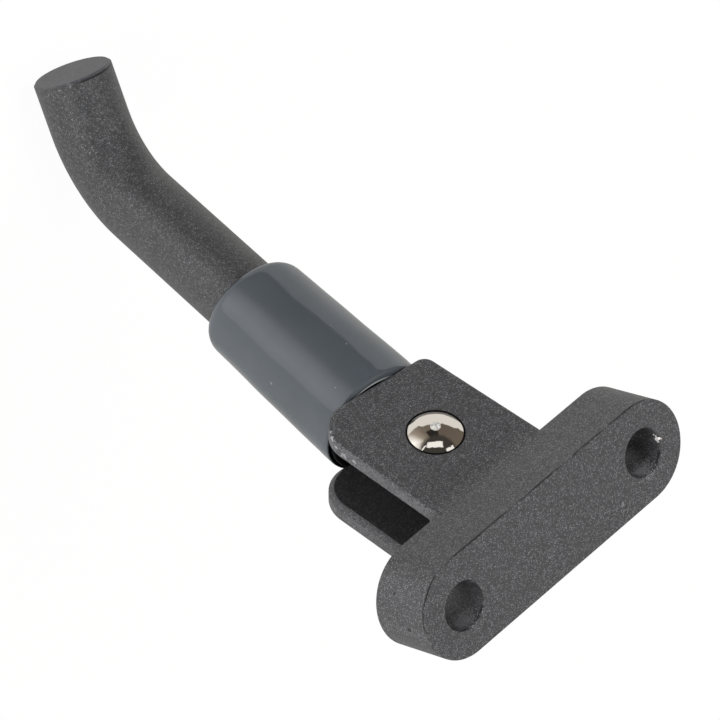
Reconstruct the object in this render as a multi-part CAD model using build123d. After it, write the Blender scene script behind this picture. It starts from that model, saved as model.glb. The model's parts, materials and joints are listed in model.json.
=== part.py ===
from build123d import *
from math import ceil, cos, pi, radians, sin, sqrt, tan
import os

# Folding kickstand for an electric scooter, in millimetres, standing open as it is used.
# The origin is on the mounting face, midway between the two bolt holes.
# +X runs along the bolt row and points forwards, +Z points up into the deck, +Y points out to the side.

# Mounting plate
bolt_spacing = 38.0
bolt_hole_diameter = 7.0
plate_end_radius = 7.7
plate_thickness = 9.8
face_edge_break = 0.15
underside_edge_chamfer = 0.3
bolt_hole_break = 0.25

# Clevis: two ears that lean out to the side
ear_lean = 23.3
pivot_drop = 22.4
ear_thickness = 3.0
slot_width = 10.0
ear_back = 11.1
ear_front = 10.3
ear_draft = 0.9
tip_reach = 12.4
cam_corner_radius = 5.3
front_corner_radius = 1.9
slot_floor_height = 9.0
ear_edge_round = 0.5
ear_inner_chamfer = 0.8
root_hollow_radius = 9.0

# Leg: a round bar with a turned shank, a flat tongue and a bent foot
forward_lean = 8.4
bar_diameter = 12.15
shank_diameter = 10.4
shoulder_distance = 36.5
shoulder_chamfer = 0.5
bend_start = 67.6
bend_radius = 15.5
bend_angle = 57.0
foot_turn = 3.1
foot_length = 8.4
foot_edge_chamfer = 0.35

# Pivot rivet
pin_diameter = 5.0
head_diameter = 7.9
head_seat_depth = 1.2
dome_height = 1.25
tail_head_height = 1.7
tail_edge_chamfer = 0.4
nub_diameter = 1.4
nub_height = 0.15

# Spring, its cup and the cam ring
cup_floor = 1.2
cup_wall = 0.7
cup_length = 6.0
cup_corner_chamfer = 0.4
wire_diameter = 1.7
active_turns = 4.5
steps_per_turn = 12
wire_sides = 6

# Soft sleeve
sleeve_mouth_gap = 0.3
sleeve_wall = 0.95
sleeve_taper = 0.7
sleeve_cover = 2.4
sleeve_cap = 3.0
sleeve_shoulder_chamfer = 1.2
sleeve_rim_chamfer = 0.3

# Clearances
running_clearance = 0.05
tongue_clearance = 0.1
seat_clearance = 0.02
head_clearance = 0.2
contact_gap = 0.05
cam_sweep_clearance = 0.3
guide_clearance = 0.1
spring_play = 0.35

# Directions of the leaning clevis: the pivot axis, the way down between the ears, and the leg's axis
lean = radians(ear_lean)
forward = radians(forward_lean)
pivot_axis = Vector(0, cos(lean), sin(lean))
ears_down = Vector(0, sin(lean), -cos(lean))
leg_axis = ears_down * cos(forward) + Vector(1, 0, 0) * sin(forward)

# The near ear's outer face leaves the plate's side wall at its lower edge, and that places the pivot
clevis_half_width = slot_width / 2 + ear_thickness
root_depth = pivot_drop - plate_thickness
pivot_y = plate_end_radius - (clevis_half_width - root_depth * sin(lean)) / cos(lean)
pivot = Vector(0, pivot_y, -pivot_drop)
ear_plane = Plane(origin=pivot, x_dir=(1, 0, 0), z_dir=pivot_axis)
leg_plane = Plane(origin=pivot, x_dir=pivot_axis, z_dir=leg_axis)
turn = radians(foot_turn)
foot_side = pivot_axis * cos(turn) + leg_axis.cross(pivot_axis) * sin(turn)
bend_plane = Plane(origin=pivot, x_dir=leg_axis, z_dir=leg_axis.cross(foot_side))

# The ear's rounded corner is the cam's lobe, and its furthest point sets the room it sweeps
draft = radians(ear_draft)
to_tip = tip_reach - cam_corner_radius
to_back = ear_back * cos(draft) - cam_corner_radius
cam_centre_x = (to_tip * sin(draft) - to_back * cos(forward)) / cos(forward - draft)
cam_centre_down = (to_tip * cos(draft) + to_back * sin(forward)) / cos(forward - draft)
cam_sweep_radius = sqrt(cam_centre_x**2 + cam_centre_down**2) + cam_corner_radius
cam_lift = cam_sweep_radius - tip_reach

# Places along the leg's axis, measured from the pivot
ring_start = tip_reach + contact_gap
cup_start = cam_sweep_radius + cam_sweep_clearance
spring_start = cup_start + cup_floor + contact_gap
spring_end = shoulder_distance - contact_gap
sleeve_start = tip_reach + sleeve_mouth_gap
cap_start = shoulder_distance + sleeve_cover
sleeve_end = cap_start + sleeve_cap

# Radii about the leg's axis, from the shank outwards: spring, cup, then the sleeve's bore and its outside
shank_bore_radius = shank_diameter / 2 + running_clearance
spring_mean_radius = shank_diameter / 2 + guide_clearance + wire_diameter / 2
cup_inner_radius = spring_mean_radius + wire_diameter / 2 + spring_play
cup_outer_radius = cup_inner_radius + cup_wall
chamber_radius = cup_outer_radius + guide_clearance
sleeve_mouth_radius = chamber_radius + sleeve_wall
sleeve_top_radius = sleeve_mouth_radius - sleeve_taper


def make_plate():
    """The obround mounting plate with its two bolt holes."""
    plate = extrude(SlotCenterToCenter(bolt_spacing, 2 * plate_end_radius), -plate_thickness)
    plate = chamfer(plate.edges().group_by(Axis.Z)[0], underside_edge_chamfer)
    plate = chamfer(plate.edges().group_by(Axis.Z)[-1], face_edge_break)
    hole = Cylinder(bolt_hole_diameter / 2, 3 * plate_thickness)
    for side in (1, -1):
        plate = plate - Pos(side * bolt_spacing / 2, 0) * hole
    hole_rims = plate.edges().filter_by(GeomType.CIRCLE).filter_by(lambda edge: edge.is_closed)
    return chamfer(hole_rims, bolt_hole_break)


def ear_rims(ears, half_width):
    """The edges round the ears' flat faces that lie this far from the slot's middle, without those at the root."""
    flat = ears.edges().filter_by(Axis.Z, reverse=True)
    rims = flat.filter_by(lambda edge: abs(abs(edge.center().Z) - half_width) < contact_gap)
    return rims.filter_by(lambda edge: edge.center().Y > contact_gap - slot_floor_height)


def make_ears():
    """Both ears with the floor between them, in the ears' plane: X along the plate, Y down, Z along the pin."""
    # The ears are cut square to the leg at the tips, and widen towards the root by the casting's draft
    front_tip = (tip_reach - ear_front * sin(forward)) / cos(forward + draft) * cos(draft)
    back_tip = (tip_reach + ear_back * sin(forward)) / cos(forward - draft) * cos(draft)
    root = root_depth / cos(lean) + clevis_half_width * tan(lean)
    outline = Polygon(
        (-ear_back - root * tan(draft), -root),
        (ear_front + root * tan(draft), -root),
        (ear_front - front_tip * tan(draft), front_tip),
        (-ear_back + back_tip * tan(draft), back_tip),
        align=None,
    )
    outline = fillet(outline.vertices().sort_by(Axis.Y)[-1], cam_corner_radius)
    outline = fillet(outline.vertices().sort_by(Axis.X)[-2:].sort_by(Axis.Y)[-1], front_corner_radius)
    block = extrude(outline, clevis_half_width, both=True)
    slot = Box(4 * ear_back, 4 * tip_reach, slot_width, align=(Align.CENTER, Align.MIN, Align.CENTER))
    ears = block - Pos(0, -slot_floor_height) * slot

    ears = chamfer(ear_rims(ears, slot_width / 2), ear_inner_chamfer)
    return fillet(ear_rims(ears, clevis_half_width), ear_edge_round)


def make_root_hollow():
    """The wide hollow where the near ear's outer face runs into the plate's side wall."""
    corner = Vector(plate_end_radius, -plate_thickness)
    # The hollow touches both faces this far from the corner between them
    reach = root_hollow_radius * tan(lean / 2)
    below = corner + Vector(sin(lean), -cos(lean)) * 1.1 * reach
    outline = Polygon(
        (0, -plate_thickness),
        below,
        corner,
        corner + Vector(0, 1.1 * reach),
        (0, 1.1 * reach - plate_thickness),
        align=None,
    )
    outline = fillet(outline.vertices().sort_by_distance(corner)[0], root_hollow_radius)
    # It is as wide as the ear's flat face is at the hollow's foot
    foot_height = root_depth * cos(lean) - (plate_end_radius - pivot_y) * sin(lean) - reach
    widening = foot_height * tan(draft) - ear_edge_round
    back = ear_back + widening
    front = ear_front + widening
    return Pos(-back, 0) * extrude(Plane.YZ * outline, back + front)


def make_mounting_bracket():
    """One casting: an obround plate with two ears that lean out and carry the pivot."""
    ears = ear_plane * make_ears()
    # Nothing of the ears' root stands past the plate: it stops in the plate, flush with both its walls
    keep = Box(
        bolt_spacing,
        4 * pivot_drop,
        3 * pivot_drop,
        align=(Align.CENTER, Align.MIN, Align.MAX),
    )
    ears = ears & Pos(0, -plate_end_radius, -plate_thickness / 2) * keep
    near_wall = Pos(0, plate_end_radius, -plate_thickness) * Box(
        bolt_spacing, 2 * pivot_drop, plate_thickness, align=(Align.CENTER, Align.MIN, Align.MIN)
    )
    bracket = make_plate() + (ears - near_wall) + make_root_hollow()

    pin_bore = extrude(ear_plane * Circle(pin_diameter / 2 + seat_clearance), 2 * clevis_half_width, both=True)
    bracket = bracket - pin_bore
    head_seat = Circle(head_diameter / 2 + head_clearance)
    for side in (1, -1):
        seat_plane = ear_plane.offset(side * (clevis_half_width - head_seat_depth))
        bracket = bracket - extrude(seat_plane * head_seat, side * 2 * head_seat_depth)
    return bracket


def make_leg():
    """The bar: a stop heel and tongue between the ears, a turned shank, and a foot bent outwards."""
    shank = extrude(leg_plane * Circle(shank_diameter / 2), shoulder_distance)
    heel_reach = slot_floor_height - contact_gap
    heel = extrude(leg_plane * Circle(shank_diameter / 2), -2 * slot_floor_height)
    # Square at the front, where it meets the slot's floor, and round at the back, where it turns past it
    envelope = (
        Circle(heel_reach)
        + Rectangle(shank_diameter, heel_reach, align=(Align.MIN, Align.MAX))
        + Rectangle(4 * shank_diameter, 4 * slot_floor_height, align=(Align.CENTER, Align.MIN))
    )
    tongue_half = slot_width / 2 - tongue_clearance
    flats = extrude(ear_plane * envelope, tongue_half, both=True)
    flats_end = cam_sweep_radius + cam_sweep_clearance
    lower = extrude(leg_plane * Circle(shank_diameter / 2), flats_end)
    tongue = (heel + lower) & flats
    upper = extrude(leg_plane.offset(flats_end) * Circle(shank_diameter / 2), shoulder_distance - flats_end)

    straight = Line((shoulder_distance, 0), (bend_start, 0))
    bend = JernArc(start=straight @ 1, tangent=straight % 1, radius=bend_radius, arc_size=bend_angle)
    foot = Line(bend @ 1, (bend @ 1) + (bend % 1) * foot_length)
    path = bend_plane * (straight + bend + foot)
    section = leg_plane.offset(shoulder_distance) * Circle(bar_diameter / 2)
    bar = sweep(section, path=path)
    foot_end = bar.faces().filter_by(GeomType.PLANE).sort_by_distance(pivot)[-1]
    bar = chamfer(foot_end.edges(), foot_edge_chamfer)
    shoulder = bar.faces().filter_by(GeomType.PLANE).sort_by_distance(pivot)[0]
    bar = chamfer(shoulder.edges(), shoulder_chamfer)

    leg = tongue + upper + bar
    pin_bore = extrude(ear_plane * Circle(pin_diameter / 2 + running_clearance), slot_width, both=True)
    return leg - pin_bore


def make_pivot_rivet():
    """A pin with a flat head on the far side and a spun dome on the near side."""
    half = clevis_half_width - head_seat_depth
    pin = pin_diameter / 2
    head = head_diameter / 2
    # The dome's rim is level with the ear's face
    rim = clevis_half_width
    top = rim + dome_height
    # Sagitta formula for the dome's arc through the rim and the crown
    dome_radius = (head**2 + dome_height**2) / (2 * dome_height)
    mid_height = rim + sqrt(dome_radius**2 - (head / 2) ** 2) - (dome_radius - dome_height)
    tail = half + tail_head_height
    outline = Polyline(
        (0, -tail),
        (head - tail_edge_chamfer, -tail),
        (head, -tail + tail_edge_chamfer),
        (head, -half),
        (pin, -half),
        (pin, half),
        (head, half),
        (head, rim),
    )
    dome = ThreePointArc((head, rim), (head / 2, mid_height), (0, top))
    profile = make_face(outline + dome + Line((0, top), (0, -tail)))
    profile_plane = Plane(origin=pivot, x_dir=(1, 0, 0), z_dir=Vector(1, 0, 0).cross(pivot_axis))
    rivet = revolve(profile_plane * profile, axis=Axis(pivot, pivot_axis))
    nub = extrude(ear_plane.offset(top - nub_height) * Circle(nub_diameter / 2), 2 * nub_height)
    return rivet + nub


def around_leg(outline):
    """Turns an outline, given as radius and distance from the pivot, about the leg's axis."""
    profile_plane = Plane(origin=pivot, x_dir=pivot_axis, z_dir=pivot_axis.cross(leg_axis))
    return revolve(profile_plane * outline, axis=Axis(pivot, leg_axis))


def make_cam_ring():
    """The black ring at the sleeve's mouth, which bears on the ears' square tips."""
    width = cup_outer_radius - shank_bore_radius
    height = cup_start - ring_start
    outline = Pos(shank_bore_radius, ring_start) * Rectangle(width, height, align=(Align.MIN, Align.MIN))
    return around_leg(outline)


def make_spring_cup():
    """A drawn cup that guides the spring and slides on the shank."""
    outline = make_face(
        Polyline(
            (shank_bore_radius, cup_start),
            (cup_outer_radius, cup_start),
            (cup_outer_radius, cup_start + cup_length),
            (cup_inner_radius, cup_start + cup_length),
            (cup_inner_radius, cup_start + cup_floor),
            (shank_bore_radius, cup_start + cup_floor),
            close=True,
        )
    )
    outer_corner = outline.vertices().sort_by(Axis.X)[-2:].sort_by(Axis.Y)[0]
    outline = chamfer(outer_corner, cup_corner_chamfer)
    return around_leg(outline)


def make_spring():
    """A compression spring with one closed coil at each end, ground flat, hidden in the sleeve."""
    closed_pitch = wire_diameter + contact_gap
    length = spring_end - spring_start
    active_height = length - 2 * closed_pitch
    all_turns = active_turns + 2
    # Short straight lengths that touch the mean circle take the place of a true coil, to keep the faces few
    corner_radius = spring_mean_radius / cos(pi / steps_per_turn)
    steps = ceil(all_turns * steps_per_turn)
    corners = []
    for step in range(steps + 1):
        turn = all_turns * step / steps
        active_turn = min(max(turn - 1, 0), active_turns)
        rise = closed_pitch * (turn - active_turn) + active_height * active_turn / active_turns
        corners.append(Vector(corner_radius, 0, rise).rotate(Axis.Z, 360 * turn))
    path = Polyline(corners)
    section = Plane(origin=path @ 0, z_dir=path % 0) * RegularPolygon(wire_diameter / 2, wire_sides)
    coil = sweep(section, path=path, transition=Transition.RIGHT)
    slab = Cylinder(2 * corner_radius, length, align=(Align.CENTER, Align.CENTER, Align.MIN))
    return leg_plane.offset(spring_start) * (coil & slab)


def make_sleeve():
    """The soft sleeve: open at its mouth, and closed on the bar at its top."""
    grip = bar_diameter / 2 + seat_clearance
    upper_bore_radius = sleeve_top_radius - sleeve_wall
    # The wide bore is as long as the cup's travel, and a narrower one follows
    step = cup_start + cup_length + cam_lift + cam_sweep_clearance
    outline = make_face(
        Polyline(
            (chamber_radius, sleeve_start),
            (sleeve_mouth_radius, sleeve_start),
            (sleeve_top_radius, sleeve_end),
            (grip, sleeve_end),
            (grip, cap_start),
            (upper_bore_radius, cap_start),
            (upper_bore_radius, step),
            (chamber_radius, step),
            close=True,
        )
    )
    shoulder = outline.vertices().sort_by(Axis.Y)[-2:].sort_by(Axis.X)[-1]
    outline = chamfer(shoulder, sleeve_shoulder_chamfer)
    rim = outline.vertices().sort_by(Axis.Y)[:2]
    outline = chamfer(rim, sleeve_rim_chamfer)
    return around_leg(outline)


parts = {
    "mounting_bracket": make_mounting_bracket(),
    "pivot_rivet": make_pivot_rivet(),
    "leg": make_leg(),
    "cam_ring": make_cam_ring(),
    "spring_cup": make_spring_cup(),
    "spring": make_spring(),
    "sleeve": make_sleeve(),
}

os.makedirs("parts", exist_ok=True)
for name, solid in parts.items():
    export_step(solid, f"parts/{name}.step")
    box = solid.bounding_box()
    print(name, len(solid.solids()), round(solid.volume, 1), box.min, box.max)
print("pivot", pivot, "axis", pivot_axis, "leg axis", leg_axis, "cam lift", round(cam_lift, 3))
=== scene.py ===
import json
from math import cos, pi, radians, sin

import bpy
from mathutils import Matrix, Quaternion, Vector, noise


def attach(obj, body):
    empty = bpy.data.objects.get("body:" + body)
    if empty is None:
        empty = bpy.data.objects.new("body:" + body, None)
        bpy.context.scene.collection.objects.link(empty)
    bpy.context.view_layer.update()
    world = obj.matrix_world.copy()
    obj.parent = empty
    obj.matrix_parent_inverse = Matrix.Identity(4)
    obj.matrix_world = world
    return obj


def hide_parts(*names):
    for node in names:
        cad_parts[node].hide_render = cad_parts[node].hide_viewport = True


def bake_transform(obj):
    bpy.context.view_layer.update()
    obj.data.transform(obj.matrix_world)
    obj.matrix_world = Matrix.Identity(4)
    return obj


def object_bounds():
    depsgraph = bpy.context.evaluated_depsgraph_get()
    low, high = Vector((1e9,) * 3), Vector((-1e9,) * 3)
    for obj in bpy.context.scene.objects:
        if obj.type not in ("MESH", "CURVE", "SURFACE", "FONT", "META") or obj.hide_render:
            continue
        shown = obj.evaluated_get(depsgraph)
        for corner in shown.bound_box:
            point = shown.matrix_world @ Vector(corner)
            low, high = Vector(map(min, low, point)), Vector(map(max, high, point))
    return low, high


# The looks of a folding scooter kickstand: metal-flake powder coat, a dip-moulded sleeve and a plated rivet

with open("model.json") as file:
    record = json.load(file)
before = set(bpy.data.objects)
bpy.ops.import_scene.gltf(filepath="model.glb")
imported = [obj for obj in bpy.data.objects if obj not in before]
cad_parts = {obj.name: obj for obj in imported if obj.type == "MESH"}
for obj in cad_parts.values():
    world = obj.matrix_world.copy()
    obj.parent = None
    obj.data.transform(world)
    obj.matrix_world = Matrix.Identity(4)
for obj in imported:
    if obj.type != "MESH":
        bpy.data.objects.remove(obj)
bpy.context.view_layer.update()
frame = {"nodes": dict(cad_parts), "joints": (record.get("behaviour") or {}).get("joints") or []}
nodes = frame["nodes"]
MM = 0.001

# The folding joint gives the pivot and its axis, and the cup's slide gives the leg's axis
joints = {joint["name"]: joint for joint in frame["joints"]}
pivot = Vector(joints["leg_fold"]["pos_m"])
pivot_axis = Vector(joints["leg_fold"]["axis"]).normalized()
leg_axis = Vector(joints["cup_slide"]["axis"]).normalized()


def along_leg(node):
    """How far a turned node reaches along the leg from the pivot, and its smallest and largest radius."""
    reaches = []
    radii = []
    for vertex in nodes[node].data.vertices:
        offset = vertex.co - pivot
        reach = offset.dot(leg_axis)
        reaches.append(reach)
        radii.append((offset - leg_axis * reach).length)
    return min(reaches), max(reaches), min(radii), max(radii)


sleeve_start, sleeve_end, grip_radius, mouth_radius = along_leg("sleeve")
ring_start, ring_end, ring_bore = along_leg("cam_ring")[:3]
cup_start, cup_end = along_leg("spring_cup")[:2]

# The casting's plate, below which its ears begin, and half of the slot between them
plate_thickness = 9.8 * MM
slot_half_width = 5.0 * MM

# The foot is bent from the leg's axis towards the pin's, a little turned, and its end lies furthest along it
bend = radians(57)
foot_turn = radians(3.1)
foot_side = pivot_axis * cos(foot_turn) + leg_axis.cross(pivot_axis) * sin(foot_turn)
foot_axis = leg_axis * cos(bend) + foot_side * sin(bend)
foot_end = max(vertex.co.dot(foot_axis) for vertex in nodes["leg"].data.vertices)
# The foot's end on the side that carries the painted shade line
foot_right_edge = Vector((14.6, 51.0, -88.2)) * MM

# The rivet's dome ends in a nub, and a gap runs round its head
nub_radius = 0.7 * MM
# The painted shade round the rivet's head reaches this far from the pin
gap_radius = 4.25 * MM
rivet_reach = max((vertex.co - pivot).dot(pivot_axis) for vertex in nodes["pivot_rivet"].data.vertices)

# The sleeve's wall, its cap round the bar, and its roundings
sleeve_taper = 0.7 * MM
sleeve_wall = 0.95 * MM
sleeve_cap = 3.0 * MM
sleeve_shoulder_round = 2.1 * MM
sleeve_rim_round = 0.45 * MM
sleeve_lip_round = 0.25 * MM

# It is soft: wavy outside, askew and stretched along the leg at its top, and less so at its mouth
sleeve_wave = 0.09 * MM
sleeve_wave_length = 7 * MM
sleeve_tilt = 0.06
sleeve_stretch = 0.1 * MM
mouth_tilt = 0.03
mouth_gap = 0.05 * MM

# The mouth's lip round the ring, and behind it the wider chamber round the cup
lip_radius = 7.95 * MM
lip_depth = 2.4 * MM
chamber_radius = 8.45 * MM
chamber_shift = 0.3 * MM
visible_ring_radius = 7.6 * MM
ring_edge_round = 0.3 * MM
lathe_steps = 240

# Across the leg: to the stand's front, and away from the camera. The loose mouth has settled to the rear
towards_front = Vector((0.852, 0.417, 0.316))
away_from_camera = leg_axis.cross(towards_front)
lip_shift = -0.87 * MM * towards_front + 0.15 * MM * away_from_camera


# Meshes

def rounded_corner(before, corner, after, radius, steps=8):
    """Points of an arc that rounds the corner between two straight runs of an outline."""
    to_before = (Vector(before) - Vector(corner)).normalized()
    to_after = (Vector(after) - Vector(corner)).normalized()
    half_angle = to_before.angle(to_after) / 2
    centre = Vector(corner) + (to_before + to_after).normalized() * (radius / sin(half_angle))
    start = Vector(corner) + to_before * (radius * cos(half_angle) / sin(half_angle)) - centre
    end = Vector(corner) + to_after * (radius * cos(half_angle) / sin(half_angle)) - centre
    turn = start.angle_signed(end)
    return [centre + start @ Matrix.Rotation(turn * step / steps, 2) for step in range(steps + 1)]


def rounded_outline(corners):
    """A closed outline from corners given as radius, reach and rounding."""
    outline = []
    count = len(corners)
    for index, (radius, reach, rounding) in enumerate(corners):
        if rounding:
            before = corners[index - 1][:2]
            after = corners[(index + 1) % count][:2]
            outline += rounded_corner(before, (radius, reach), after, rounding)
        else:
            outline.append(Vector((radius, reach)))
    return outline


def split_long_runs(outline, longest):
    """The same closed outline with points added along its long straight runs."""
    points = []
    for index, point in enumerate(outline):
        following = outline[(index + 1) % len(outline)]
        pieces = max(1, round((following - point).length / longest))
        points += [point.lerp(following, piece / pieces) for piece in range(pieces)]
    return points


def lathe(name, outline, settle):
    """Turns a closed outline of radius and reach about the leg. settle() gives each point's small move."""
    side = pivot_axis
    front = leg_axis.cross(side)
    vertices = []
    for step in range(lathe_steps):
        turn = 2 * pi * step / lathe_steps
        outwards = side * cos(turn) + front * sin(turn)
        for radius, reach in outline:
            place = pivot + leg_axis * reach + outwards * radius
            vertices.append(place + settle(place, outwards, radius, reach))
    count = len(outline)
    faces = []
    for step in range(lathe_steps):
        this = step * count
        following = (step + 1) % lathe_steps * count
        for index in range(count):
            other = (index + 1) % count
            faces.append((this + index, this + other, following + other, following + index))
    mesh = bpy.data.meshes.new(name)
    mesh.from_pydata(vertices, [], faces)
    mesh.validate()
    mesh.shade_smooth()
    piece = bpy.data.objects.new(name, mesh)
    bpy.context.scene.collection.objects.link(piece)
    return piece


def settle_sleeve(place, outwards, radius, reach):
    """How far a point of the soft sleeve lies from its true place.

    It is wavy, askew along the leg, and its lip and chamber lie off centre. The lip's shift fades across
    the wall.
    """
    share = (reach - sleeve_start) / (sleeve_end - sleeve_start)
    askew = mouth_tilt + (sleeve_tilt - mouth_tilt) * share
    stretch = mouth_gap + (sleeve_stretch - mouth_gap) * share
    move = leg_axis * (stretch - askew * outwards.dot(towards_front) * radius)
    if radius > mouth_radius - sleeve_wall - sleeve_taper:
        move += outwards * sleeve_wave * noise.noise(place / sleeve_wave_length)
    if reach < sleeve_start + lip_depth:
        move += lip_shift * min(1, max(0, (mouth_radius - radius) / (mouth_radius - lip_radius)))
    elif radius < chamber_radius + MM / 100:
        move -= towards_front * chamber_shift * max(0, 1 - 2.5 * share)
    return move


def settle_ring(place, outwards, radius, reach):
    """The ring's visible edge lies off centre with the sleeve's lip, and its bore stays true to the shank."""
    return lip_shift if radius > ring_bore + ring_edge_round * 1.5 else Vector()


# Materials

def linear(hex_colour):
    """An sRGB hex colour as a linear colour with full alpha."""
    channels = [int(hex_colour[place : place + 2], 16) / 255 for place in (1, 3, 5)]
    return tuple(c / 12.92 if c <= 0.04045 else ((c + 0.055) / 1.055) ** 2.4 for c in channels) + (1.0,)


def add(tree, kind, links=(), stops=(), **settings):
    """Adds a node. Settings go by property or input name, and stops are a ramp's.

    Links are pairs of an input and what feeds it: a node by its first open output, a socket or a plain value.
    """
    node = tree.nodes.new("ShaderNode" + kind)
    for key, value in settings.items():
        if hasattr(node, key):
            setattr(node, key, value)
        else:
            node.inputs[key.replace("_", " ")].default_value = value
    for socket, source in links:
        if isinstance(source, bpy.types.Node):
            source = next(output for output in source.outputs if output.enabled)
        if isinstance(source, bpy.types.NodeSocket):
            tree.links.new(source, node.inputs[socket])
        else:
            node.inputs[socket].default_value = source
    for index, (position, colour) in enumerate(stops):
        elements = node.color_ramp.elements
        element = elements[index] if index < 2 else elements.new(position)
        element.position = position
        element.color = linear(colour)
    return node


def new_material(name):
    """An empty material with a Principled shader, and the part's own coordinates in metres."""
    material = bpy.data.materials.new(name)
    material.use_nodes = True
    tree = material.node_tree
    tree.nodes.clear()
    shader = add(tree, "BsdfPrincipled")
    add(tree, "OutputMaterial", links=[("Surface", shader)])
    place = add(tree, "TexCoord").outputs["Object"]
    return material, tree, shader, place


def wear_and_highlight_spot(tree, place, colour, centre, radius, wear_and_highlight_colour, grain=0.3 * MM, strength=1.0):
    """Lays a spot over a colour, for wear and once for a painted highlight: whole in its middle, and breaking
    up into grains towards its radius.
    """
    away = add(tree, "VectorMath", operation="DISTANCE", links=[(0, place), (1, centre)])
    falloff = add(
        tree, "MapRange", clamp=False, links=[("Value", away)], From_Max=radius, To_Min=1.1, To_Max=0.0
    )
    grains = add(tree, "TexNoise", links=[("Vector", place)], Scale=1 / grain, Detail=3.0)
    broken = add(
        tree, "MapRange", links=[("Value", grains)], From_Min=0.25, From_Max=0.75, To_Min=-0.7, To_Max=0.7
    )
    spot_shape = add(tree, "Math", operation="ADD", links=[(0, falloff), (1, broken)])
    mask = add(tree, "MapRange", links=[("Value", spot_shape)], From_Min=0.5, From_Max=0.62, To_Max=strength)
    wear_and_painted_light = linear(wear_and_highlight_colour)
    return add(tree, "Mix", data_type="RGBA", links=[("Factor", mask), ("A", colour), ("B", wear_and_painted_light)])


def flakes(tree, place, size, core, full_core, rarest, commonest, brightest):
    """A mask of flakes, one to a cell. Each has its own brightness, and the rarest show most.

    A flake is whole within full_core and gone at core, both as shares of its cell. Cells whose lot lies below
    commonest hold none, and those at rarest are brightest.
    """
    cells = add(tree, "TexVoronoi", links=[("Vector", place)], Scale=1 / size)
    within = add(
        tree,
        "MapRange",
        links=[("Value", cells.outputs["Distance"])],
        From_Min=full_core,
        From_Max=core,
        To_Min=1.0,
        To_Max=0.0,
    )
    lot = add(tree, "SeparateColor", links=[("Color", cells.outputs["Color"])])
    shown = add(
        tree, "MapRange", links=[("Value", lot)], From_Min=commonest, From_Max=rarest, To_Max=brightest
    )
    return add(tree, "Math", operation="MULTIPLY", links=[(0, within), (1, shown)])


def flaked_coat(tree, shader, place, darkest, lightest, glitter):
    """Powder coat with metal flake: a dark grey grain full of fine glints, and the orange peel of the oven.

    Sets all but the base colour, which it gives back for the wear, painted shade and painted highlights to be
    laid on.
    """
    peel_size = 0.5 * MM
    peel = add(tree, "TexNoise", links=[("Vector", place)], Scale=1 / peel_size, Detail=4.0, Roughness=0.65)
    ground = add(tree, "ValToRGB", links=[("Fac", peel)], stops=[(0.32, darkest), (0.68, lightest)])
    # Real flakes are some 0.05 mm across. They are drawn as coarse as the photograph's pixels show them
    fine = flakes(
        tree, place, 0.18 * MM, core=0.55, full_core=0.15, rarest=1.0, commonest=0.42, brightest=glitter
    )
    large = flakes(
        tree, place, 0.27 * MM, core=0.36, full_core=0.08, rarest=0.98, commonest=0.8, brightest=0.85
    )
    flake = add(tree, "Math", operation="MAXIMUM", links=[(0, fine), (1, large)])
    warmth = add(tree, "TexNoise", links=[("Vector", place)], Scale=1 / (0.3 * MM))
    tint = add(
        tree,
        "ValToRGB",
        links=[("Fac", warmth)],
        stops=[(0.35, "#aaa7a3"), (0.5, "#acacb0"), (0.65, "#9fa7b4")],
    )
    colour = add(tree, "Mix", data_type="RGBA", links=[("Factor", flake), ("A", ground), ("B", tint)])
    # Flakes are metal, and mirror the room softly
    metal = add(tree, "MapRange", links=[("Value", flake)], To_Max=0.5)
    tree.links.new(metal.outputs["Result"], shader.inputs["Metallic"])
    bump = add(tree, "Bump", links=[("Height", peel)], Strength=0.4, Distance=0.04 * MM)
    tree.links.new(bump.outputs["Normal"], shader.inputs["Normal"])
    shader.inputs["Roughness"].default_value = 0.42
    return colour


def parting_line(tree, place, height, colour):
    """The mould's parting line: dark, just below the mounting face, and broken where the coat filled it."""
    line_height = -0.2 * MM
    line_half_width = 0.12 * MM
    waver = add(tree, "TexNoise", links=[("Vector", place)], Scale=1 / (2.5 * MM), Detail=3.0)
    drift = add(tree, "MapRange", links=[("Value", waver)], To_Min=-0.2 * MM, To_Max=0.2 * MM)
    wavering = add(tree, "Math", operation="ADD", links=[(0, height), (1, drift)])
    in_line = add(
        tree, "Math", operation="COMPARE", links=[(0, wavering), (1, line_height), (2, line_half_width)]
    )
    filled = add(tree, "TexNoise", links=[("Vector", place)], Scale=1 / (5 * MM), Detail=3.0)
    unfilled = add(tree, "MapRange", links=[("Value", filled)], From_Min=0.38, From_Max=0.48, To_Max=0.85)
    parting = add(tree, "Math", operation="MULTIPLY", links=[(0, in_line), (1, unfilled)])
    dark_line = linear("#131314")
    return add(tree, "Mix", data_type="RGBA", links=[("Factor", parting), ("A", colour), ("B", dark_line)])


def rubbed_ear_edges(tree, place, sideways, on_ears, colour):
    """The ears' rear edges are rubbed paler in specks, most on the near ear."""
    near_most = add(
        tree, "MapRange", links=[("Value", sideways)], From_Min=-MM, From_Max=MM, To_Min=0.2, To_Max=1.0
    )
    facing = add(tree, "TexCoord").outputs["Normal"]
    rearward = add(tree, "VectorMath", operation="DOT_PRODUCT", links=[(0, facing), (1, (-1, 0, 0))])
    at_rear = add(tree, "MapRange", links=[("Value", rearward)], From_Min=0.55, From_Max=0.85)
    ear_edge = add(tree, "Math", operation="MULTIPLY", links=[(0, at_rear), (1, on_ears)])
    rubbing = add(tree, "TexNoise", links=[("Vector", place)], Scale=1 / (0.45 * MM), Detail=5.0)
    rubbed = add(tree, "MapRange", links=[("Value", rubbing)], From_Min=0.42, From_Max=0.74, To_Max=0.6)
    rubbed_there = add(tree, "Math", operation="MULTIPLY", links=[(0, rubbed), (1, near_most)])
    paled = add(tree, "Math", operation="MULTIPLY", links=[(0, ear_edge), (1, rubbed_there)])
    pale_coat = linear("#76767a")
    return add(tree, "Mix", data_type="RGBA", links=[("Factor", paled), ("A", colour), ("B", pale_coat)])


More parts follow.
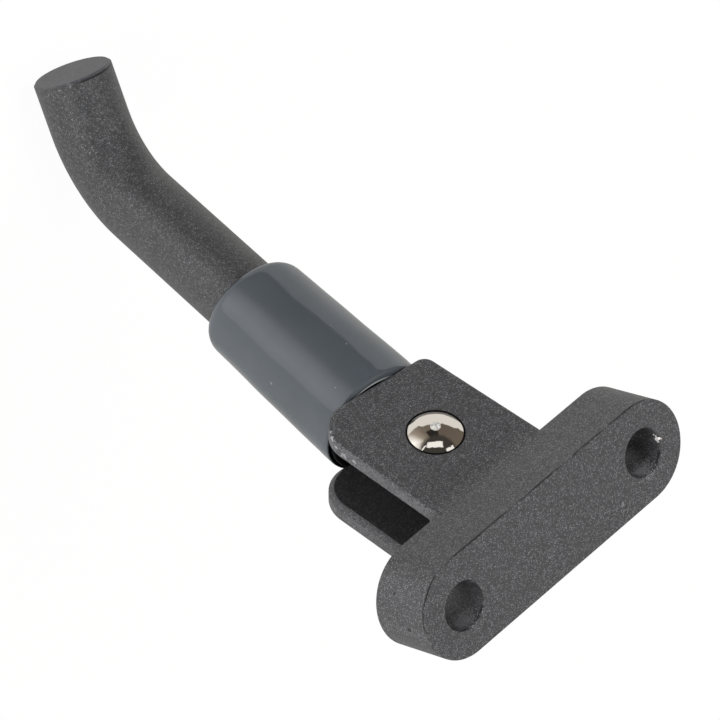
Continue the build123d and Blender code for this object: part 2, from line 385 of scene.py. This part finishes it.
def painted_shade_between_ears(tree, sideways, on_ears, colour):
    """Painted shade: the coat is darkened between the ears, where shade falls."""
    aside = add(tree, "Math", operation="ABSOLUTE", links=[(0, sideways)])
    inside = add(
        tree,
        "MapRange",
        links=[("Value", aside)],
        From_Min=slot_half_width + 0.5 * MM,
        From_Max=slot_half_width + 0.1 * MM,
        To_Min=0.0,
        To_Max=0.5,
    )
    shaded_between = add(tree, "Math", operation="MULTIPLY", links=[(0, inside), (1, on_ears)])
    # Painted shade, near black, laid on the faces between the ears
    painted_shade_colour = linear("#0d0d0e")
    return add(tree, "Mix", data_type="RGBA", links=[("Factor", shaded_between), ("A", colour), ("B", painted_shade_colour)])


def casting_wear(tree, place, colour):
    """The casting's chips, scrapes, scratches and pits, where the photograph shows them, and a painted
    highlight on the rear hole's wall.
    """
    # Chips down the near ear's cam corner
    cam_corner_chips = (
        (Vector((-9.89, 15.97, -29.31)), 0.35 * MM),
        (Vector((-10.4, 15.4, -28.6)), 0.5 * MM),
        (Vector((-10.9, 14.35, -27.76)), 0.6 * MM),
        (Vector((-10.98, 13.39, -26.64)), 0.75 * MM),
        (Vector((-11.02, 12.69, -24.64)), 0.5 * MM),
    )
    for chip, radius in cam_corner_chips:
        colour = wear_and_highlight_spot(tree, place, colour, chip * MM, radius, "#a6a6a9", 0.35 * MM, 0.75)

    # Bare metal at the front hole's rim, and its wall scraped by the bolt. The rear hole's wall has a painted
    # highlight, pale in grains
    rim_chip = Vector((22.5, 0.1, -0.4)) * MM
    colour = wear_and_highlight_spot(tree, place, colour, rim_chip, 1.0 * MM, "#e2e0dc", 0.45 * MM)
    front_wall = Vector((19.0, -3.5, -1.8)) * MM
    colour = wear_and_highlight_spot(tree, place, colour, front_wall, 2.8 * MM, "#88888b", 0.22 * MM, 0.8)
    # Painted highlight on the rear hole's wall
    rear_wall_highlight = Vector((-18.6, -3.4, -2.4)) * MM
    colour = wear_and_highlight_spot(tree, place, colour, rear_wall_highlight, 3.2 * MM, "#808083", 0.22 * MM, 0.7)

    # A dark scratch on the near ear's root, and a pale one on the mounting face
    root_scratch = Vector((7.0, 8.9, -12.7)) * MM
    colour = wear_and_highlight_spot(tree, place, colour, root_scratch, 0.5 * MM, "#1b1b1c", 0.3 * MM, 0.7)
    face_scuff = Vector((12.6, -4.6, 0.0)) * MM
    colour = wear_and_highlight_spot(tree, place, colour, face_scuff, 0.6 * MM, "#86868a", 0.3 * MM, 0.6)

    # Two pits in the coat of the plate's rear end
    upper_pit = Vector((-25.05, 4.75, -6.1)) * MM
    colour = wear_and_highlight_spot(tree, place, colour, upper_pit, 0.4 * MM, "#141415")
    lower_pit = Vector((-26.7, 0.45, -3.4)) * MM
    return wear_and_highlight_spot(tree, place, colour, lower_pit, 0.6 * MM, "#141415")


def painted_shade_round_rivet(tree, from_pivot, colour):
    """Painted shade: the coat is black in the gap round the rivet's head."""
    across = add(tree, "VectorMath", operation="CROSS_PRODUCT", links=[(0, from_pivot), (1, pivot_axis)])
    pin_distance = add(tree, "VectorMath", operation="LENGTH", links=[(0, across)])
    in_gap = add(tree, "Math", operation="LESS_THAN", links=[(0, pin_distance), (1, gap_radius)])
    # Painted shade, black, in the gap round the rivet's head
    gap_shade_colour = linear("#070707")
    return add(tree, "Mix", data_type="RGBA", links=[("Factor", in_gap), ("A", colour), ("B", gap_shade_colour)])


def cast_bracket_coat():
    """Flake powder coat on a zinc casting.

    It is rubbed to pale metal at a cam corner and the front hole, and dark along the mould's parting line. It
    has a painted highlight on the rear hole's wall, and painted shade between the ears and round the rivet's
    head.
    """
    material, tree, shader, place = new_material("flake_powder_coat_on_casting")
    colour = flaked_coat(tree, shader, place, "#2d2d2f", "#444446", 0.75)
    height = add(tree, "SeparateXYZ", links=[("Vector", place)]).outputs["Z"]
    on_ears = add(
        tree,
        "MapRange",
        links=[("Value", height)],
        From_Min=-plate_thickness - MM,
        From_Max=-plate_thickness - 2 * MM,
        To_Min=0.0,
        To_Max=1.0,
    )
    from_pivot = add(tree, "VectorMath", operation="SUBTRACT", links=[(0, place), (1, pivot)])
    sideways = add(tree, "VectorMath", operation="DOT_PRODUCT", links=[(0, from_pivot), (1, pivot_axis)])
    colour = parting_line(tree, place, height, colour)
    colour = rubbed_ear_edges(tree, place, sideways, on_ears, colour)
    # Painted shade between the ears
    colour = painted_shade_between_ears(tree, sideways, on_ears, colour)
    colour = casting_wear(tree, place, colour)
    # Painted shade in the gap round the rivet's head
    colour = painted_shade_round_rivet(tree, from_pivot, colour)
    tree.links.new(colour.outputs["Result"], shader.inputs["Base Color"])
    return material


def bar_coat():
    """Flake powder coat on a bent steel bar, whose sawn end is plain, smooth and paler."""
    material, tree, shader, place = new_material("flake_powder_coat_on_bar")
    colour = flaked_coat(tree, shader, place, "#2a2a2b", "#414142", 0.5)

    # How far each point lies behind the foot's end, along the foot
    along = add(tree, "VectorMath", operation="DOT_PRODUCT", links=[(0, place), (1, foot_axis)])
    behind = add(tree, "Math", operation="SUBTRACT", links=[(0, foot_end), (1, along)])
    on_end = add(
        tree,
        "MapRange",
        links=[("Value", behind)],
        From_Min=0.3 * MM,
        From_Max=0.16 * MM,
        To_Min=0.0,
        To_Max=0.85,
    )
    sawn = add(tree, "TexNoise", links=[("Vector", place)], Scale=1 / (0.6 * MM), Detail=4.0)
    end_coat = add(tree, "ValToRGB", links=[("Fac", sawn)], stops=[(0.35, "#404045"), (0.65, "#535358")])
    colour = add(tree, "Mix", data_type="RGBA", links=[("Factor", on_end), ("A", colour), ("B", end_coat)])

    # Painted shade: a thin dark line just behind the foot's end, on one side
    line_place = 0.5 * MM
    line_half_width = 0.16 * MM
    near_edge = add(
        tree, "Math", operation="COMPARE", links=[(0, behind), (1, line_place), (2, line_half_width)]
    )
    aside = add(tree, "VectorMath", operation="DISTANCE", links=[(0, place), (1, foot_right_edge)])
    one_side = add(
        tree,
        "MapRange",
        links=[("Value", aside)],
        From_Min=5.5 * MM,
        From_Max=3.5 * MM,
        To_Min=0.0,
        To_Max=1.0,
    )
    wear_and_painted_light = add(tree, "Math", operation="MULTIPLY", links=[(0, near_edge), (1, one_side)])
    # The painted shade line's dark colour
    painted_edge_shade = linear("#1c1c1e")
    colour = add(tree, "Mix", data_type="RGBA", links=[("Factor", wear_and_painted_light), ("A", colour), ("B", painted_edge_shade)])

    # On the other side fine chips lie below the edge
    for chip in (Vector((9.3, 51.2, -89.9)), Vector((8.1, 50.9, -91.2)), Vector((7.3, 50.3, -93.0))):
        colour = wear_and_highlight_spot(tree, place, colour, chip * MM, 0.6 * MM, "#8a8a8e", 0.35 * MM, 0.4)
    tree.links.new(colour.outputs["Result"], shader.inputs["Base Color"])
    return material


def plated_rivet():
    """Nickel-chrome plate on a spun steel rivet: a warm mirror, with a rough pale nub where it was spun."""
    material, tree, shader, place = new_material("nickel_chrome_plate")
    dome_top = pivot + pivot_axis * rivet_reach
    away = add(tree, "VectorMath", operation="DISTANCE", links=[(0, place), (1, dome_top)])
    on_nub = add(
        tree,
        "MapRange",
        links=[("Value", away)],
        From_Min=nub_radius + 0.1 * MM,
        From_Max=nub_radius,
        To_Min=0.0,
        To_Max=1.0,
    )
    marks = add(tree, "TexNoise", links=[("Vector", place)], Scale=1 / (0.3 * MM), Detail=3.0)
    scuffed = add(tree, "ValToRGB", links=[("Fac", marks)], stops=[(0.38, "#a9a8a6"), (0.62, "#f2f0ec")])
    plate = linear("#eee9e0")
    colour = add(tree, "Mix", data_type="RGBA", links=[("Factor", on_nub), ("A", plate), ("B", scuffed)])
    tree.links.new(colour.outputs["Result"], shader.inputs["Base Color"])
    haze = add(tree, "MapRange", links=[("Value", on_nub)], To_Min=0.05, To_Max=0.6)
    tree.links.new(haze.outputs["Result"], shader.inputs["Roughness"])
    metal = add(tree, "MapRange", links=[("Value", on_nub)], To_Min=1.0, To_Max=0.4)
    tree.links.new(metal.outputs["Result"], shader.inputs["Metallic"])
    # The dome was pressed, and is a little uneven; the nub is rough
    dents = add(tree, "TexNoise", links=[("Vector", place)], Scale=1 / (1.6 * MM), Detail=2.0)
    rough = add(tree, "Math", operation="MULTIPLY", links=[(0, marks), (1, on_nub)])
    height = add(tree, "Math", operation="MULTIPLY_ADD", links=[(0, dents), (1, 0.4), (2, rough)])
    bump = add(tree, "Bump", links=[("Height", height)], Strength=0.6, Distance=0.12 * MM)
    tree.links.new(bump.outputs["Normal"], shader.inputs["Normal"])
    return material


def trimmed_mouth_with_painted_highlight(tree, place, colour):
    """The mouth was trimmed with a knife: its cut edge is evenly coloured, with a painted highlight along the
    bore's edge at its top.
    """
    from_mouth = add(tree, "VectorMath", operation="SUBTRACT", links=[(0, place), (1, pivot + lip_shift)])
    reach = add(tree, "VectorMath", operation="DOT_PRODUCT", links=[(0, from_mouth), (1, leg_axis)])
    cut = add(
        tree,
        "MapRange",
        links=[("Value", reach)],
        From_Min=sleeve_start + 0.5 * MM,
        From_Max=sleeve_start + 0.35 * MM,
        To_Min=0.0,
        To_Max=1.0,
    )
    cut_vinyl = linear("#43484c")
    colour = add(tree, "Mix", data_type="RGBA", links=[("Factor", cut), ("A", colour), ("B", cut_vinyl)])
    across = add(tree, "VectorMath", operation="CROSS_PRODUCT", links=[(0, from_mouth), (1, leg_axis)])
    from_bore = add(tree, "VectorMath", operation="LENGTH", links=[(0, across)])
    at_bore = add(
        tree,
        "MapRange",
        links=[("Value", from_bore)],
        From_Min=lip_radius + 0.8 * MM,
        From_Max=lip_radius + 0.65 * MM,
        To_Min=0.0,
        To_Max=1.0,
    )
    # Painted highlight: pale on the bore's rounded edge, only on its top side
    upwards = towards_front - 2 * away_from_camera
    height = add(tree, "VectorMath", operation="DOT_PRODUCT", links=[(0, from_mouth), (1, upwards)])
    at_top = add(tree, "MapRange", links=[("Value", height)], From_Min=8 * MM, From_Max=12 * MM)
    highlight_place = add(tree, "Math", operation="MULTIPLY", links=[(0, at_bore), (1, at_top)])
    painted_bore_highlight = add(tree, "Math", operation="MULTIPLY", links=[(0, cut), (1, highlight_place)])
    # The painted highlight's pale colour
    wear_and_painted_light = linear("#a9adae")
    return add(tree, "Mix", data_type="RGBA", links=[("Factor", painted_bore_highlight), ("A", colour), ("B", wear_and_painted_light)])


def dipped_vinyl():
    """Dip-moulded plasticised PVC: blue-grey, glossy, uneven and nicked, with a trimmed edge that has a
    painted highlight at the top of its bore.
    """
    material, tree, shader, place = new_material("dip_moulded_vinyl")
    mottle = add(tree, "TexNoise", links=[("Vector", place)], Scale=1 / (9 * MM), Detail=2.0)
    colour = add(tree, "ValToRGB", links=[("Fac", mottle)], stops=[(0.35, "#40464b"), (0.65, "#444a50")])
    nicks = (
        (Vector((3.54, 20.54, -37.38)), 0.2 * MM),
        (Vector((4.7, 22.05, -41.25)), 0.18 * MM),
        (Vector((8.11, 25.65, -51.41)), 0.16 * MM),
        (Vector((-4.64, 16.88, -46.65)), 0.28 * MM),
        (Vector((-2.77, 17.73, -34.61)), 0.25 * MM),
    )
    for nick, radius in nicks:
        colour = wear_and_highlight_spot(tree, place, colour, nick * MM, radius, "#858b91", 0.5 * MM, 0.5)
    colour = trimmed_mouth_with_painted_highlight(tree, place, colour)
    tree.links.new(colour.outputs["Result"], shader.inputs["Base Color"])

    # The dipped skin is faintly uneven, and its gloss varies with it
    unevenness = add(tree, "TexNoise", links=[("Vector", place)], Scale=1 / (1.6 * MM), Detail=4.0)
    bump = add(tree, "Bump", links=[("Height", unevenness)], Strength=0.12, Distance=0.05 * MM)
    tree.links.new(bump.outputs["Normal"], shader.inputs["Normal"])
    gloss = add(
        tree, "MapRange", links=[("Value", unevenness)], From_Min=0.3, From_Max=0.7, To_Min=0.06, To_Max=0.12
    )
    tree.links.new(gloss.outputs["Result"], shader.inputs["Roughness"])
    shader.inputs["IOR"].default_value = 1.56
    return material


def moulded_rubber():
    """Moulded black rubber: matt and dusty, with the faint grain of a spark-eroded mould."""
    material, tree, shader, place = new_material("moulded_black_rubber")
    grain = add(tree, "TexNoise", links=[("Vector", place)], Scale=1 / (0.2 * MM), Detail=3.0)
    shade = add(tree, "ValToRGB", links=[("Fac", grain)], stops=[(0.3, "#060607"), (0.7, "#0d0d0e")])
    tree.links.new(shade.outputs["Color"], shader.inputs["Base Color"])
    bump = add(tree, "Bump", links=[("Height", grain)], Strength=0.2, Distance=0.02 * MM)
    tree.links.new(bump.outputs["Normal"], shader.inputs["Normal"])
    shader.inputs["Roughness"].default_value = 0.7
    shader.inputs["Specular IOR Level"].default_value = 0.2
    return material


def drawn_steel(name, colour, roughness):
    """Drawn steel with a film of oil: die lines along it, and darker where the oil lies thick."""
    material, tree, shader, place = new_material(name)
    oil = add(tree, "TexNoise", links=[("Vector", place)], Scale=1 / (1.2 * MM), Detail=4.0)
    oily = linear("#6a6661")
    film = add(tree, "Mix", data_type="RGBA", links=[("Factor", oil), ("A", linear(colour)), ("B", oily)])
    tree.links.new(film.outputs["Result"], shader.inputs["Base Color"])
    lines = add(tree, "TexNoise", links=[("Vector", place)], Scale=1 / (0.15 * MM), Detail=2.0)
    bump = add(tree, "Bump", links=[("Height", lines)], Strength=0.15, Distance=0.02 * MM)
    tree.links.new(bump.outputs["Normal"], shader.inputs["Normal"])
    shader.inputs["Metallic"].default_value = 1.0
    shader.inputs["Roughness"].default_value = roughness
    return material


def dress(thing, material):
    """Gives a thing this one material in place of any that it had."""
    thing.data.materials.clear()
    thing.data.materials.append(material)


# The soft sleeve and the ring at its mouth

top_radius = mouth_radius - sleeve_taper
bore_step = ring_end + (cup_end - cup_start) + 3 * MM
cap_start = sleeve_end - sleeve_cap
sleeve_outline = rounded_outline(
    [
        (lip_radius, sleeve_start, sleeve_rim_round),
        (mouth_radius, sleeve_start, sleeve_rim_round),
        (top_radius, sleeve_end, sleeve_shoulder_round),
        (grip_radius, sleeve_end, sleeve_lip_round),
        (grip_radius, cap_start, 0),
        (top_radius - sleeve_wall, cap_start, 0),
        (top_radius - sleeve_wall, bore_step, 0),
        (mouth_radius - sleeve_wall, bore_step, 0),
        (chamber_radius, sleeve_start + lip_depth, 0),
        (lip_radius, sleeve_start + lip_depth - 0.1 * MM, 0),
    ]
)
sleeve = lathe("vinyl_sleeve", split_long_runs(sleeve_outline, 0.8 * MM), settle_sleeve)
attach(sleeve, "leg")
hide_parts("sleeve")
dress(sleeve, dipped_vinyl())

ring_outline = rounded_outline(
    [
        (ring_bore, ring_start, ring_edge_round),
        (visible_ring_radius, ring_start, ring_edge_round),
        (visible_ring_radius, ring_end, 0),
        (ring_bore, ring_end, 0),
    ]
)
ring = lathe("rubber_ring", ring_outline, settle_ring)
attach(ring, "follower")
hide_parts("cam_ring")
dress(ring, moulded_rubber())

# The spring is pressed together by its cup. Its mesh is copied as one still piece
coil = bpy.data.objects.new("coil_spring", nodes["spring"].data.copy())
bpy.context.scene.collection.objects.link(coil)
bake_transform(coil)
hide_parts("spring")
dress(coil, drawn_steel("oiled_spring_wire", "#8d8d90", 0.35))

dress(nodes["mounting_bracket"], cast_bracket_coat())
dress(nodes["leg"], bar_coat())
dress(nodes["pivot_rivet"], plated_rivet())
dress(nodes["spring_cup"], drawn_steel("oiled_drawn_steel", "#9a9a9c", 0.3))


# Table, studio and camera

def white_table():
    """A matt white table top. Seen straight it is mostly its own white, so its shadow stays faint."""
    own_white = 0.96
    material = bpy.data.materials.new("white_table")
    material.use_nodes = True
    tree = material.node_tree
    tree.nodes.clear()
    path = add(tree, "LightPath")
    seen = add(
        tree,
        "Math",
        operation="MAXIMUM",
        links=[(0, path.outputs["Is Camera Ray"]), (1, path.outputs["Is Glossy Ray"])],
    )
    seen = add(tree, "Math", operation="MAXIMUM", links=[(0, seen), (1, path.outputs["Is Transmission Ray"])])
    share = add(tree, "Math", operation="MULTIPLY", links=[(0, seen), (1, own_white)])
    matt = add(tree, "BsdfDiffuse", Color=linear("#f0eeea"))
    glow = add(tree, "Emission", Strength=1.0)
    mix = add(tree, "MixShader", links=[("Fac", share), (1, matt), (2, glow)])
    add(tree, "OutputMaterial", links=[("Surface", mix)])
    return material


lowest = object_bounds()[0][2]
floor_half = 1.5
floor_signs = ((-1, -1), (1, -1), (1, 1), (-1, 1))
floor_corners = [(across * floor_half, along * floor_half, lowest) for across, along in floor_signs]
floor_mesh = bpy.data.meshes.new("floor")
floor_mesh.from_pydata(floor_corners, [], [(0, 1, 2, 3)])
floor = bpy.data.objects.new("floor", floor_mesh)
bpy.context.scene.collection.objects.link(floor)
dress(floor, white_table())
floor.visible_glossy = False

# The stand lay on a table, photographed from above. The room's right, far side and ceiling in its frame
room_right = Vector((0.717, -0.373, 0.588))
room_far = Vector((0.641, 0.683, -0.349))
room_up = Vector((-0.271, 0.627, 0.730))


def far_rectangle(tree, spread, middle, half_sizes, tilt=0.0, softness=0.1):
    """A mask for a rectangle on a flat spread of directions. Its tilt is in radians."""
    squared = add(
        tree,
        "Mapping",
        vector_type="TEXTURE",
        links=[("Vector", spread)],
        Location=(*middle, 0),
        Rotation=(0, 0, tilt),
        Scale=(*half_sizes, 1),
    )
    away = add(tree, "VectorMath", operation="ABSOLUTE", links=[(0, squared)])
    sides = add(tree, "SeparateXYZ", links=[("Vector", away)])
    furthest = add(
        tree, "Math", operation="MAXIMUM", links=[(0, sides.outputs["X"]), (1, sides.outputs["Y"])]
    )
    return add(
        tree,
        "MapRange",
        links=[("Value", furthest)],
        From_Min=1 + softness,
        From_Max=1 - softness,
        To_Min=0.0,
        To_Max=1.0,
    )


def room_walls(tree, round_room, angles):
    """Walls, pale at the left and near side and brown beyond, with a dark curtain and a window."""
    # Round from the left by the near side, the right and the far side: each 0.1 is 36 degrees
    wall = add(
        tree,
        "ValToRGB",
        links=[("Fac", round_room)],
        stops=[
            (0.0, "#f4f2ee"),
            (0.43, "#dad7d2"),
            (0.5, "#9c958c"),
            (0.54, "#71685f"),
            (0.62, "#6a6158"),
            (0.75, "#645b53"),
            (0.83, "#7a7167"),
            (0.87, "#a1988d"),
            (0.92, "#c6c0b8"),
            (0.96, "#f4f2ee"),
        ],
    )
    # The curtain hangs by the far wall, and the window stands bright at the left
    curtain_middle = (radians(101), radians(41))
    curtain_half_sizes = (radians(13), radians(15))
    curtain = far_rectangle(tree, angles, curtain_middle, curtain_half_sizes, softness=0.15)
    dark_cloth = linear("#2c2a28")
    room = add(tree, "Mix", data_type="RGBA", links=[("Factor", curtain), ("A", wall), ("B", dark_cloth)])
    window_middle = (radians(166), radians(9))
    window_half_sizes = (radians(17), radians(19))
    window = far_rectangle(tree, angles, window_middle, window_half_sizes, softness=0.9)
    daylight = (1.8, 1.8, 1.85, 1.0)
    return add(tree, "Mix", data_type="RGBA", links=[("Factor", window), ("A", room), ("B", daylight)])


def room_ceiling(tree, right, far, up, rise, room):
    """A dark ceiling with softboxes, laid over the walls. It is drawn on a flat sheet one unit above."""
    on_ceiling = add(tree, "MapRange", links=[("Value", rise)], From_Min=radians(40), From_Max=radians(50))
    dark_paint = linear("#3f3c3a")
    room = add(tree, "Mix", data_type="RGBA", links=[("Factor", on_ceiling), ("A", room), ("B", dark_paint)])
    level = add(tree, "CombineXYZ", links=[("X", right), ("Y", far)])
    overhead = add(tree, "VectorMath", operation="DIVIDE", links=[(0, level), (1, up)])
    # The middle, half sizes and tilt of each softbox
    softboxes = (
        ((-0.16, 0.43), (0.35, 0.15), 0.0),
        ((0.55, 0.30), (0.24, 0.06), radians(32)),
        ((-0.70, 0.33), (0.16, 0.05), radians(35)),
    )
    lit_cloth = linear("#ffffff")
    for middle, half_sizes, tilt in softboxes:
        softbox = far_rectangle(tree, overhead, middle, half_sizes, tilt)
        room = add(tree, "Mix", data_type="RGBA", links=[("Factor", softbox), ("A", room), ("B", lit_cloth)])
    return room


def room_table(tree, round_room, angles, up, rise, room):
    """A white table, raised at its far side, brightest by the window and shaded under the stand."""
    far_side = far_rectangle(tree, angles, middle=(radians(85), 0), half_sizes=(radians(29), radians(90)))
    edge = add(tree, "MapRange", links=[("Value", far_side)], To_Max=radians(9))
    over_edge = add(tree, "Math", operation="SUBTRACT", links=[(0, rise), (1, edge)])
    above_table = add(
        tree, "MapRange", links=[("Value", over_edge)], From_Min=radians(-1), From_Max=radians(1)
    )
    table = add(
        tree,
        "ValToRGB",
        links=[("Fac", round_room)],
        stops=[(0.0, "#ffffff"), (0.1, "#e4e2df"), (0.88, "#e4e2df"), (0.95, "#ffffff")],
    )
    shade = add(
        tree, "MapRange", links=[("Value", up)], From_Min=-1.0, From_Max=-0.5, To_Min=0.55, To_Max=1.0
    )
    table = add(tree, "VectorMath", operation="SCALE", links=[(0, table), ("Scale", shade)])
    return add(tree, "Mix", data_type="RGBA", links=[("Factor", above_table), ("A", table), ("B", room)])


def mirrored_room(tree):
    """What mirrors see: a white table, brown walls, and a dark ceiling with softboxes."""
    direction = add(tree, "TexCoord").outputs["Generated"]
    right = add(tree, "VectorMath", operation="DOT_PRODUCT", links=[(0, direction), (1, room_right)])
    far = add(tree, "VectorMath", operation="DOT_PRODUCT", links=[(0, direction), (1, room_far)])
    up = add(tree, "VectorMath", operation="DOT_PRODUCT", links=[(0, direction), (1, room_up)])
    rise = add(tree, "Math", operation="ARCSINE", links=[(0, up)])
    turn = add(tree, "Math", operation="ARCTAN2", links=[(0, far), (1, right)])
    angles = add(tree, "CombineXYZ", links=[("X", turn), ("Y", rise)])
    round_room = add(tree, "MapRange", links=[("Value", turn)], From_Min=-pi, From_Max=pi)
    room = room_walls(tree, round_room, angles)
    room = room_ceiling(tree, right, far, up, rise, room)
    return room_table(tree, round_room, angles, up, rise, room)


def studio_world(ambient_light):
    """Plain white light all round, white for the camera, and the photographer's room for mirrors."""
    world = bpy.data.worlds.new("studio")
    world.use_nodes = True
    tree = world.node_tree
    tree.nodes.clear()
    path = add(tree, "LightPath")
    plain = add(tree, "Background", Color=(1, 1, 1, 1), Strength=ambient_light)
    white = add(tree, "Background", Color=(1, 1, 1, 1), Strength=1.0)
    seen = add(
        tree,
        "Math",
        operation="MAXIMUM",
        links=[(0, path.outputs["Is Camera Ray"]), (1, path.outputs["Is Transmission Ray"])],
    )
    unmirrored = add(tree, "MixShader", links=[("Fac", seen), (1, plain), (2, white)])
    mirrored = add(tree, "Background", links=[("Color", mirrored_room(tree))])
    glossy = path.outputs["Is Glossy Ray"]
    result = add(tree, "MixShader", links=[("Fac", glossy), (1, unmirrored), (2, mirrored)])
    add(tree, "OutputWorld", links=[("Surface", result)])
    return world


bpy.context.scene.world = studio_world(ambient_light=0.5)


def softbox_lamp(name, azimuth, elevation, width, height, power):
    """A soft rectangular lamp aimed at the kickstand. Mirrors see the world's softboxes, not the lamp.

    The direction is in degrees, the sizes are in metres and the power is in watts.
    """
    distance = 1.0
    lamp = bpy.data.lights.new(name, "AREA")
    lamp.shape = "RECTANGLE"
    lamp.size = width
    lamp.size_y = height
    lamp.energy = power
    holder = bpy.data.objects.new(name, lamp)
    turn = radians(azimuth)
    rise = radians(elevation)
    aim = Vector((0, 0.01, -0.04))
    holder.location = aim + Vector((cos(turn) * cos(rise), sin(turn) * cos(rise), sin(rise))) * distance
    holder.rotation_euler = (aim - holder.location).to_track_quat("-Z", "Y").to_euler()
    holder.visible_glossy = False
    bpy.context.scene.collection.objects.link(holder)


softbox_lamp("left_softbox", azimuth=175, elevation=15, width=0.8, height=0.6, power=8)
softbox_lamp("overhead_softbox", azimuth=20, elevation=75, width=0.8, height=0.6, power=6.6)
softbox_lamp("front_softbox", azimuth=95, elevation=20, width=0.35, height=0.35, power=1.5)

# The photographer's camera, as fitted to the stand's outline. Its lens and sensor are in millimetres
camera_place = (-0.35301321, 0.36705015, 0.4653823)
camera_turn = Quaternion((0.89459537, -0.18984967, -0.33116564, -0.23234788))
camera_lens = 248.327
camera_sensor = 36.0
camera_data = bpy.data.cameras.new("camera")
camera_data.lens = camera_lens
camera_data.sensor_width = camera_sensor
camera = bpy.data.objects.new("camera", camera_data)
camera.location = camera_place
camera.rotation_mode = "QUATERNION"
camera.rotation_quaternion = camera_turn
bpy.context.scene.collection.objects.link(camera)
bpy.context.scene.camera = camera
bpy.context.scene.view_settings.view_transform = "Standard"
